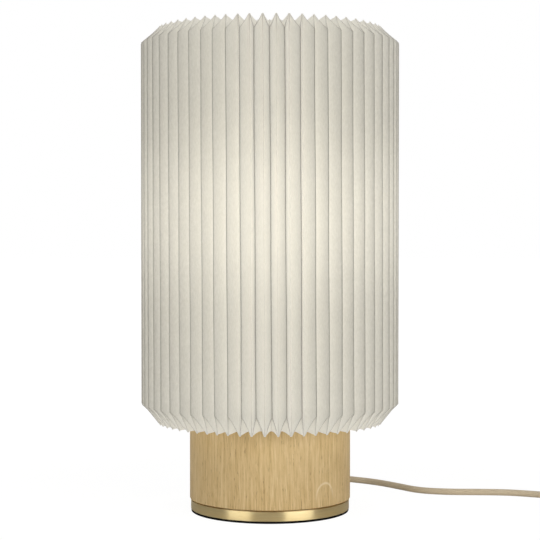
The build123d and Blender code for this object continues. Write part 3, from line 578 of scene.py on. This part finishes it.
def make_shade(paper):
    """One half pleat is drawn, mirrored, repeated round the axis and given its wall."""
    low_fold, top_fold = SHADE_LOW + COLLAR_LOW, SHADE_TOP - COLLAR_TOP
    low_crease = [facet_point(across, z) for across, z in ((0, low_fold), *LOW_SLANT)]
    low_crease += gutter_points(SHADE_LOW, 1)
    top_crease = [facet_point(across, z) for across, z in ((0, top_fold), *TOP_SLANT)]
    top_crease += gutter_points(SHADE_TOP, -1)
    obj = traced([*low_crease, *reversed(top_crease)])
    bpy.ops.object.mode_set(mode="EDIT")
    bpy.ops.mesh.select_all(action="SELECT")
    bpy.ops.mesh.edge_face_add()
    # Behind the slanting crease at each rim, the paper's corner is folded in to the middle plane.
    for crease, tuck_r, tuck_z, bow in (
        (low_crease[:-2], LOW_TUCK_R, LOW_TUCK_Z, LOW_BOW),
        (top_crease[:-2], TOP_TUCK_R, TOP_TUCK_Z, TOP_BOW),
    ):
        fold, corner = crease[0], crease[-1]
        tuck = Vector((0, -tuck_r, tuck_z)) * MM
        inner = [fold.lerp(tuck, i / (len(crease) - 1)) for i in range(len(crease))]
        pick_edges(crease)
        bpy.ops.mesh.extrude_edges_move(TRANSFORM_OT_translate={"value": (0, 0, 0)})
        put(list(zip(crease, inner)))
        bpy.ops.mesh.select_all(action="SELECT")
        bpy.ops.mesh.remove_doubles(threshold=1e-7)
        middles = [(a + b) / 2 for a, b in zip(crease[1:], inner[1:])]
        pick(lambda co: any((co - middle).length < 1e-6 for middle in middles), "EDGE")
        bpy.ops.mesh.subdivide(number_cuts=len(bow))
        for i, lift in enumerate(bow, 1):
            place = corner.lerp(tuck, i / (len(bow) + 1))
            pick(lambda co: (co - place).length < 1e-6)
            bpy.ops.transform.translate(value=(0, 0, lift * MM))
    bpy.ops.object.mode_set(mode="OBJECT")
    mirror = obj.modifiers.new("mirror", "MIRROR")
    mirror.use_axis = (True, False, False)
    mirror.merge_threshold = 1e-6
    applied(obj)
    bpy.ops.object.mode_set(mode="EDIT")
    bpy.ops.mesh.select_all(action="SELECT")
    bpy.ops.mesh.spin(steps=PLEATS, dupli=True, angle=math.tau, center=(0, 0, 0), axis=(0, 0, 1))
    bpy.ops.mesh.select_all(action="SELECT")
    bpy.ops.mesh.remove_doubles(threshold=2e-6)
    bpy.ops.mesh.normals_make_consistent(inside=False)
    # Level cuts let the long pleats lean with the unevenness that comes last.
    cuts, margin = 9, 4
    for i in range(cuts):
        bpy.ops.mesh.select_all(action="SELECT")
        height = low_fold + margin + i * (top_fold - low_fold - 2 * margin) / (cuts - 1)
        bpy.ops.mesh.bisect(plane_co=(0, 0, height * MM), plane_no=(0, 0, 1))
    bpy.ops.mesh.select_mode(type="EDGE")
    bpy.ops.mesh.select_all(action="DESELECT")
    bpy.ops.mesh.edges_select_sharp(sharpness=math.radians(50))
    bpy.ops.object.mode_set(mode="OBJECT")
    # The pressed folds get narrow faces of their own, and the line along their middle is marked
    # for the paper's painted shade.
    # The slanting folds at the rims, pressed by hand, are wider than the long machined ones.
    weights = obj.data.attributes.new("bevel_weight_edge", "FLOAT", "EDGE")
    for edge in obj.data.edges:
        if edge.select:
            z = sum(obj.data.vertices[i].co.z for i in edge.vertices) / 2 / MM
            weights.data[edge.index].value = LONG_FOLD_SHARE if low_fold < z < top_fold else 1.0
    obj.data.materials.append(paper)
    obj.data.materials.append(paper)
    crisp = obj.modifiers.new("crisp_folds", "BEVEL")
    crisp.width = FOLD_LINE * MM
    crisp.profile = 1.0
    crisp.segments = 2
    crisp.limit_method = "WEIGHT"
    crisp.material = 1
    applied(obj)
    mesh = obj.data
    flats = [polygon for polygon in mesh.polygons if polygon.material_index == 0]
    beside = {i for polygon in flats for i in polygon.vertices}
    fold = mesh.attributes.new("fold", "FLOAT", "POINT")
    for vertex in mesh.vertices:
        fold.data[vertex.index].value = 0.0 if vertex.index in beside else 1.0
    for polygon in mesh.polygons:
        polygon.material_index = 0
    wall = obj.modifiers.new("wall", "SOLIDIFY")
    wall.thickness = PAPER_T * MM
    wall.offset = -1
    applied(obj)
    settled(obj)
    finished(obj, "pleated_shade", paper, "shade", "paper_shade", smooth=28.0)


def settled(obj):
    """Pleats set by hand never stand quite evenly: they drift along the rim and lean a little."""
    middle = (SHADE_LOW + SHADE_TOP) / 2 * MM
    for vertex in obj.data.vertices:
        around = math.atan2(vertex.co.x, -vertex.co.y)
        lean = (vertex.co.z - middle) / middle
        # In degrees: drifts over several pleats, ripples from pleat to pleat, and the lean.
        drift = 0.7 - 0.5 * math.cos(3 * around) - 0.3 * math.sin(3 * around)
        drift += 0.35 * math.sin(7 * around)
        ripple = 0.12 * math.sin(23 * around + 1.7) + 0.08 * math.sin(41 * around + 9 * lean)
        turn = math.radians(drift + ripple - 0.75 * lean)
        x, y = vertex.co.x, vertex.co.y
        vertex.co.x = x * math.cos(turn) - y * math.sin(turn)
        vertex.co.y = x * math.sin(turn) + y * math.cos(turn)


# ---- Drum, ring and pad
def make_base_pieces(oak, brass, rubber):
    """The drum with its well and spigot, the ring round the spigot, and the pad under both."""
    drum = turned([(STEM_R, DRUM_TOP), (STEM_R, WELL_TOP), (WELL_R, WELL_TOP), (WELL_R, SPIGOT_LOW),
                   (SPIGOT_R, SPIGOT_LOW), (SPIGOT_R, DRUM_LOW), (DRUM_R, DRUM_LOW),
                   (DRUM_R, DRUM_TOP)], 160)
    bevelled(drum, 0.5, 3)
    # The lead's outlet is bored through the back.
    start()
    bpy.ops.mesh.primitive_cylinder_add(vertices=32, radius=OUTLET_R * MM, depth=30 * MM,
                                        location=(0, 56 * MM, OUTLET_Z * MM),
                                        rotation=(math.pi / 2, 0, 0))
    bore = bpy.context.object
    cut = drum.modifiers.new("bore", "BOOLEAN")
    cut.object = bore
    cut.operation = "DIFFERENCE"
    applied(drum)
    bpy.data.objects.remove(bore)
    finished(drum, "turned_drum", oak, "base", "oak_drum")
    ring = turned([(RING_IN_R, PAD_T), (RING_OUT_R, PAD_T), (RING_OUT_R, RING_TOP),
                   (RING_IN_R, RING_TOP)], 200)
    bevelled(ring, 0.3, 2)
    finished(ring, "turned_ring", brass, "base", "brass_ring")
    pad = turned([(0, 0), (PAD_R, 0), (PAD_R, PAD_T), (0, PAD_T)], 160, closed=False)
    bevelled(pad, 0.12, 2)
    finished(pad, "soft_pad", rubber, "base", "foot_pad")


# ---- Bulb and lampholder
def arc(centre, radius, first, last, count):
    """Points of an arc in the (radius, height) plane, angles in degrees."""
    points = []
    for i in range(count + 1):
        angle = math.radians(first + (last - first) * i / count)
        points.append((centre[0] + radius * math.cos(angle), centre[1] + radius * math.sin(angle)))
    return points


def make_bulb_pieces(opal, metal):
    """The globe, which flares out of its neck, the rolled cap, and the solder on the cap's tip."""
    low, high = (corner.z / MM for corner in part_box("bulb_globe"))
    globe_z = high - GLOBE_R
    neck_r, flare_r = 13.6, 20.0
    flare_x = neck_r + flare_r
    flare_z = globe_z - math.sqrt((GLOBE_R + flare_r) ** 2 - flare_x**2)
    first = math.degrees(math.atan2(flare_z - globe_z, flare_x))
    last = math.degrees(math.atan2(globe_z - flare_z, -flare_x))
    outer = arc((0, globe_z), GLOBE_R, first, 90, 20)[1:-1]
    shrink = (GLOBE_R - GLASS_T) / GLOBE_R
    inner = [(r * shrink, globe_z + (z - globe_z) * shrink) for r, z in reversed(outer)]
    outline = [(neck_r, low), *arc((flare_x, flare_z), flare_r, 180, last, 6), *outer, (0, high)]
    outline += [(0, high - GLASS_T), *inner]
    outline += [*arc((flare_x, flare_z), flare_r + GLASS_T, last, 180, 6), (neck_r - GLASS_T, low)]
    globe = turned(outline, 96)
    finished(globe, "opal_globe", opal, "bulb", "bulb_globe", smooth=60.0)
    globe.visible_shadow = False

    tip = turned([(0, 161), (2.6, 161.05), (4.1, 161.5), (4.6, 162.12), (0, 162.12)], 40,
                 closed=False)
    finished(tip, "solder_tip", metal, "bulb_axial", "bulb_tip")

    # The cap's wall is rolled into a thread, and its rim is curled round the neck.
    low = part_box("bulb_cap")[0].z / MM
    rolled = [(0, low), (12.2, low), (12.6, low + 0.8)]
    for i in range(THREAD_TURNS):
        ridge = low + 3.0 + THREAD_PITCH * i
        rolled += [(12.5, ridge - 1.2), (13.1, ridge - 0.6), (13.2, ridge), (13.1, ridge + 0.6),
                   (12.5, ridge + 1.2)]
    rolled += [(12.5, low + 20.4), (13.2, low + 21.0), (13.2, low + 22.0), (12.6, low + 22.0),
               (12.0, low + 20.0), (12.0, low + 1.0), (0, low + 0.6)]
    cap = turned(rolled, 72, closed=False)
    finished(cap, "rolled_cap", metal, "bulb", "bulb_cap", smooth=50.0)


def make_holder(black, thread_brass):
    """The lampholder: a domed cap screwed to the stem, a grooved shell over it, and its thread."""
    cap = turned([(STEM_R, HOLDER_LOW), (9, HOLDER_LOW), (9, 135), (18.6, 146), (18.6, 152),
                  (16.4, 152), (16.4, 146), (9, 137.2), (STEM_R, 137.2)], 80)
    bevelled(cap, 0.6, 3, 20)
    finished(cap, "holder_dome", black, "base", "holder_cap")
    outline = [(18.7, 150), (20.2, 150), (20.6, 150.4)]
    for z in (155.0, 159.0, 163.0):
        outline += [(20.6, z), (20.0, z + 0.4), (20.0, z + 1.2), (20.6, z + 1.6)]
    outline += [(20.6, 181), (20.1, 182.8), (19.0, 183.7), (17.6, 184), (14.4, 184), (14.2, 183.6),
                (14.2, 158), (18.7, 158)]
    shell = turned(outline, 96)
    finished(shell, "grooved_shell", black, "base", "holder_shell", smooth=28.0)
    drawn = [(14.1, 179), (14.1, 158), (13.6, 158)]
    for i in range(THREAD_TURNS):
        ridge = 160.4 + THREAD_PITCH * i
        drawn += [(13.95, ridge - 1.2), (13.5, ridge - 0.5), (13.5, ridge + 0.5),
                  (13.95, ridge + 1.2)]
    drawn += [(13.9, 179)]
    thread = turned(drawn, 72)
    finished(thread, "screw_thread", thread_brass, "base", "holder_thread",
             smooth=50.0)


def make_stem_pieces(white):
    """Under the lampholder: the sleeve, and the turned disc that the shade's plate drops over."""
    sleeve = turned([(STEM_R, DISC_TOP), (8, DISC_TOP), (8, HOLDER_LOW), (STEM_R, HOLDER_LOW)], 64)
    bevelled(sleeve, 0.4, 3)
    finished(sleeve, "turned_sleeve", white, "base", "stem_sleeve")
    disc = turned([(STEM_R, DISC_LOW), (39.7, DISC_LOW), (39.7, DISC_TOP - 0.8), (38.9, DISC_TOP),
                   (14, DISC_TOP), (13, DISC_TOP - 0.6), (STEM_R, DISC_TOP - 0.6)], 128)
    bevelled(disc, 0.35, 2, 20)
    finished(disc, "locating_disc", white, "base", "locator_disc")


# ---- Wire frame of the shade
def rod(length, radius=WIRE_R):
    """A cut wire standing on the floor plane, its ends rounded."""
    end = 0.4
    return turned([(0, 0), (radius - end, 0), (radius, end), (radius, length - end),
                   (radius - end, length), (0, length)], 20, closed=False)


def repeated(obj, count):
    """Copies a piece evenly round the axis, within its own mesh."""
    only(obj)
    bpy.ops.object.transform_apply(location=True, rotation=True, scale=True)
    bpy.ops.object.mode_set(mode="EDIT")
    bpy.ops.mesh.select_all(action="SELECT")
    bpy.ops.mesh.spin(steps=count, dupli=True, angle=math.tau, center=(0, 0, 0), axis=(0, 0, 1))
    bpy.ops.mesh.select_all(action="SELECT")
    bpy.ops.mesh.remove_doubles(threshold=2e-6)
    bpy.ops.mesh.normals_make_consistent(inside=False)
    bpy.ops.object.mode_set(mode="OBJECT")
    return obj


def joined(*pieces):
    """Makes one mesh of several pieces that are welded or moulded together."""
    start()
    for piece in pieces:
        piece.select_set(True)
    bpy.context.view_layer.objects.active = pieces[0]
    bpy.ops.object.join()
    return pieces[0]


def laid(obj, place, turn=(0, 0, 0)):
    """Turns a shape by degrees, then moves it by millimetres."""
    obj.rotation_euler = [math.radians(angle) for angle in turn]
    obj.location = Vector(place) * MM
    return obj


def bead(place, radius=2.0):
    """A drop of weld, slightly flattened."""
    start()
    bpy.ops.mesh.primitive_uv_sphere_add(segments=16, ring_count=10, radius=radius * MM,
                                         location=Vector(place) * MM)
    drop = bpy.context.object
    drop.scale = (1.0, 0.8, 0.8)
    return drop


def make_frame_pieces(white):
    """The shade's wire frame: two hoops and three arms and uprights, welded, on a pressed plate."""
    for name, node, z in (("low_hoop", "lower_hoop", ARM_Z),
                          ("high_hoop", "upper_hoop", HIGH_HOOP_Z)):
        start()
        bpy.ops.mesh.primitive_torus_add(major_segments=144, minor_segments=14,
                                         major_radius=HOOP_R * MM, minor_radius=WIRE_R * MM,
                                         location=(0, 0, z * MM))
        hoop = bpy.context.object
        welds = repeated(bead((0, HOOP_R - WIRE_R, z)), 3)
        finished(joined(hoop, welds), name, white, "shade", node, smooth=60.0)
    arm_in, arm_out = 44.0, 80.9
    arm = laid(rod(arm_out - arm_in), (0, arm_in, ARM_Z), (-90, 0, 0))
    foot = bead((0, arm_in + 2, ARM_Z - 0.7), 1.9)
    arms = repeated(joined(arm, foot), 3)
    finished(arms, "wire_arms", white, "shade", "frame_arms")
    post_r, post_low, post_top = 79.41, 84.15, 366.5
    post = laid(rod(post_top - post_low), (0, post_r, post_low))
    finished(repeated(post, 3), "wire_uprights", white, "shade", "frame_uprights")
    plate = turned([(40, DISC_LOW), (54, DISC_LOW), (54, 81), (40, 81)], 128)
    bevelled(plate, 0.35, 3)
    finished(plate, "pressed_plate", white, "shade", "shade_carrier_plate")


# ---- Lead fittings
def ribbed(first, last, low, high, count):
    """Outline of a strain relief from one radius to another, cut by grooves that let it bend."""
    outline = []
    pitch = (high - low) / count
    for i in range(count):
        radius = first + (last - first) * (i + 0.5) / count
        z = low + pitch * i
        outline += [(radius, z + 0.2), (radius, z + pitch * 0.58),
                    (radius - 0.75, z + pitch * 0.66), (radius - 0.75, z + pitch * 0.94)]
    return outline


def make_fitting_pieces(black, beige):
    """The outlet's grommet, and the plug with its relief, which the coiled lead carries."""
    grommet = turned([(2.65, 0), (4.5, 0), (4.5, 16.5), (6.0, 16.5), (6.5, 17), (6.5, 18),
                      (6.1, 18.5), *ribbed(4.6, 3.5, 18.6, 40.6, 7), (3.4, 41), (3.3, 42.5),
                      (2.65, 42.5)], 48)
    laid(grommet, (0, 46, OUTLET_Z), (-90, 0, 0))
    finished(grommet, "ribbed_grommet", black, "base", "lead_grommet", smooth=40.0)

    relief = turned([(0, 0), (3.0, 0), (3.4, 0.4), *ribbed(3.5, 4.9, 1.0, 21.4, 6), (5, 22),
                     (0, 22)], 40, closed=False)
    laid(relief, (PLUG_X, PLUG_Y, PLUG_H / 2), (-90, 0, 0))
    finished(relief, "ribbed_plug_relief", beige, "base", "plug_relief",
             smooth=40.0)

    near, far = PLUG_Y + 22, PLUG_Y + 58
    sides = [(-10, near), (-10.6, near + 9), (-17.5, near + 23), (-17.5, far), (17.5, far),
             (17.5, near + 23), (10.6, near + 9), (10, near)]
    body = traced([Vector((PLUG_X + x, y, 0)) * MM for x, y in sides])
    bpy.ops.object.mode_set(mode="EDIT")
    bpy.ops.mesh.select_all(action="SELECT")
    bpy.ops.mesh.edge_face_add()
    bpy.ops.mesh.extrude_region_move(TRANSFORM_OT_translate={"value": (0, 0, PLUG_H * MM)})
    bpy.ops.mesh.select_all(action="SELECT")
    bpy.ops.mesh.normals_make_consistent(inside=False)
    bpy.ops.object.mode_set(mode="OBJECT")
    bevelled(body, 2.4, 5, 12)
    # Raised bars for the fingers, wider towards the prongs as the plug is.
    grips = [laid(rod(15.0 + 1.2 * i, 0.7),
                  (PLUG_X - 7.5 - 0.6 * i, near + 5.5 + 2.6 * i, PLUG_H - 0.25), (0, 90, 0))
             for i in range(5)]
    finished(joined(body, *grips), "moulded_plug", beige, "base", "plug_body")
    return relief, body


# ---- Light, floor and background
def softbox(name, place, aim, width, height, watts):
    """A lamp behind a white rectangle that faces a point."""
    data = bpy.data.lights.new(name, "AREA")
    data.shape = "RECTANGLE"
    data.size, data.size_y, data.energy = width, height, watts
    light = bpy.data.objects.new(name, data)
    bpy.context.scene.collection.objects.link(light)
    light.location = place
    light.rotation_euler = (Vector(aim) - light.location).to_track_quat("-Z", "Y").to_euler()


def make_studio():
    """A pale floor, white behind everything, three softboxes, and the lit bulb's own light."""
    white = colour("#FFFFFF")
    world = bpy.data.worlds.new("studio")
    bpy.context.scene.world = world
    world.use_nodes = True
    tree = world.node_tree
    tree.nodes.clear()
    rays = add(tree, "LightPath").outputs
    axes = add(tree, "SeparateXYZ", add(tree, "TexCoord").outputs["Generated"]).outputs
    # Polished metal sees the white backdrop only behind the lamp, and the dim room elsewhere.
    behind = add(tree, "MapRange", axes["Y"], 0.93, 0.99)
    behind = add(tree, "Math", behind, rays["Is Glossy Ray"], operation="MULTIPLY")
    seen = add(tree, "Math", rays["Is Camera Ray"], rays["Is Transmission Ray"],
               operation="MAXIMUM")
    seen = add(tree, "Math", seen, behind, operation="MAXIMUM")
    room = add(tree, "Background", white, ROOM)
    backdrop = add(tree, "Background", white, 1.0)
    add(tree, "OutputWorld", add(tree, "MixShader", seen, room, backdrop))

    start()
    bpy.ops.mesh.primitive_plane_add(size=24.0, location=(0, 0, 0))
    floor = bpy.context.object
    floor.name = "floor"
    # Matt painted board, which fades into the white round it.
    material, tree, place = new_material("pale_floor")
    board = add(tree, "BsdfPrincipled", Base_Color=colour("#F4F3F0"), Roughness=0.9)
    glow = add(tree, "Emission", white, 1.06)
    rays = add(tree, "LightPath").outputs
    seen = add(tree, "Math", rays["Is Camera Ray"], rays["Is Transmission Ray"],
               operation="MAXIMUM")
    # Near the lamp a tenth of what is seen is the floor itself, with the lamp's shadow on it.
    apart = add(tree, "VectorMath", place, operation="LENGTH").outputs["Value"]
    fade = add(tree, "MapRange", apart, 0.25, 1.1, 0.9, 1.0)
    share = add(tree, "Math", seen, fade, operation="MULTIPLY")
    mirrored = add(tree, "MapRange", apart, 0.5, 1.5)
    mirrored = add(tree, "Math", rays["Is Glossy Ray"], mirrored, operation="MULTIPLY")
    share = add(tree, "Math", share, mirrored, operation="MAXIMUM")
    add(tree, "OutputMaterial", add(tree, "MixShader", share, board, glow))
    floor.data.materials.append(material)

    softbox("left_softbox", (-1.06, -1.06, 0.36), (0, 0, 0.2), 0.95, 0.9, LEFT_W)
    softbox("right_softbox", (1.0, -1.1, 0.36), (0, 0, 0.2), 1.15, 0.9, RIGHT_W)
    softbox("top_softbox", (0.0, -0.4, 2.2), (0, 0, 0.1), 2.4, 2.4, TOP_W)
    data = bpy.data.lights.new("bulb_light", "POINT")
    data.energy, data.color, data.shadow_soft_size = BULB_W, colour("#FFF8EE")[:3], 0.028
    light = bpy.data.objects.new("bulb_light", data)
    bpy.context.scene.collection.objects.link(light)
    light.location = (0, 0, 0.232)


# ---- The lamp
make_camera()
FINISHES = {
    # Injection moulded with a fine satin grain: a soft, broad highlight.
    "black_plastic": make_plain("moulded_black", "#19191B", 0.45),
    # Cold rolled sheet as it leaves the mill: grey, with blurred reflections.
    "plate_steel": make_plain("rolled_steel", "#8F9193", 0.4, 1.0),
    # Sand cast and left raw: dark, nearly matt, with only a hint of metal.
    "ballast_iron": make_plain("cast_iron", "#3A3B3D", 0.7, 0.6),
    # Bright zinc plating on screws and nuts: pale and slightly blurred.
    "zinc_steel": make_plain("zinc_plated_steel", "#B4B7BA", 0.32, 1.0),
    # Sheet brass drawn and rolled into a thread: warm and bright on its ridges.
    "thread_brass": make_plain("drawn_brass", "#C9A765", 0.3, 1.0),
    # Spun sheet aluminium: a bright cold grey.
    "bulb_metal": make_plain("spun_aluminium", "#C9CBCC", 0.28, 1.0),
    # Black glass fused round the tip contact: a sharp, wet gloss.
    "bulb_black_glass": make_plain("black_glass", "#101012", 0.12),
    # Powder coat baked on steel wire and plate: an even soft white.
    "white_wire": make_plain("white_powder_coat", "#E9E6DE", 0.5),
    # Moulded in the lead's own colour: satin, a little glossier than the black.
    "beige_plastic": make_plain("moulded_beige", "#D6C8AC", 0.42),
    # Extruded sleeving on each core: smooth, with a soft line of light along it.
    "core_sleeving": make_plain("brown_sleeving", "#5B3A22", 0.4),
    # Plated and polished prongs: a near mirror, slightly warm.
    "nickel": make_plain("nickel_plate", "#CFCDC8", 0.18, 1.0),
    # Foamed rubber: black and matt, with almost no highlight.
    "black_pad": make_plain("rubber_pad", "#0D0B0A", 0.9, shine=0.15),
    "oak": make_oak(),
    "brass": make_brass(),
    "shade_paper": make_paper(),
    "opal_glass": make_opal(),
}
braids = [make_textile(name, length)
          for name, length in zip(("braid_to_switch", "braid_to_plug"), LEAD_LENGTHS)]
FINISHES["beige_textile"] = braids[0]
slots = {entry["node"]: entry["material_slot"] for entry in frame["record"]["subparts"]}
for node, obj in frame["nodes"].items():
    obj.data.materials.clear()
    obj.data.materials.append(FINISHES[slots[node]])

make_leads(braids, make_fitting_pieces(FINISHES["black_plastic"], FINISHES["beige_plastic"]))
make_shade(FINISHES["shade_paper"])
make_base_pieces(FINISHES["oak"], FINISHES["brass"], FINISHES["black_pad"])
make_bulb_pieces(FINISHES["opal_glass"], FINISHES["bulb_metal"])
make_holder(FINISHES["black_plastic"], FINISHES["thread_brass"])
make_stem_pieces(FINISHES["white_wire"])
make_frame_pieces(FINISHES["white_wire"])
make_studio()
bpy.context.scene.view_settings.view_transform = "Standard"
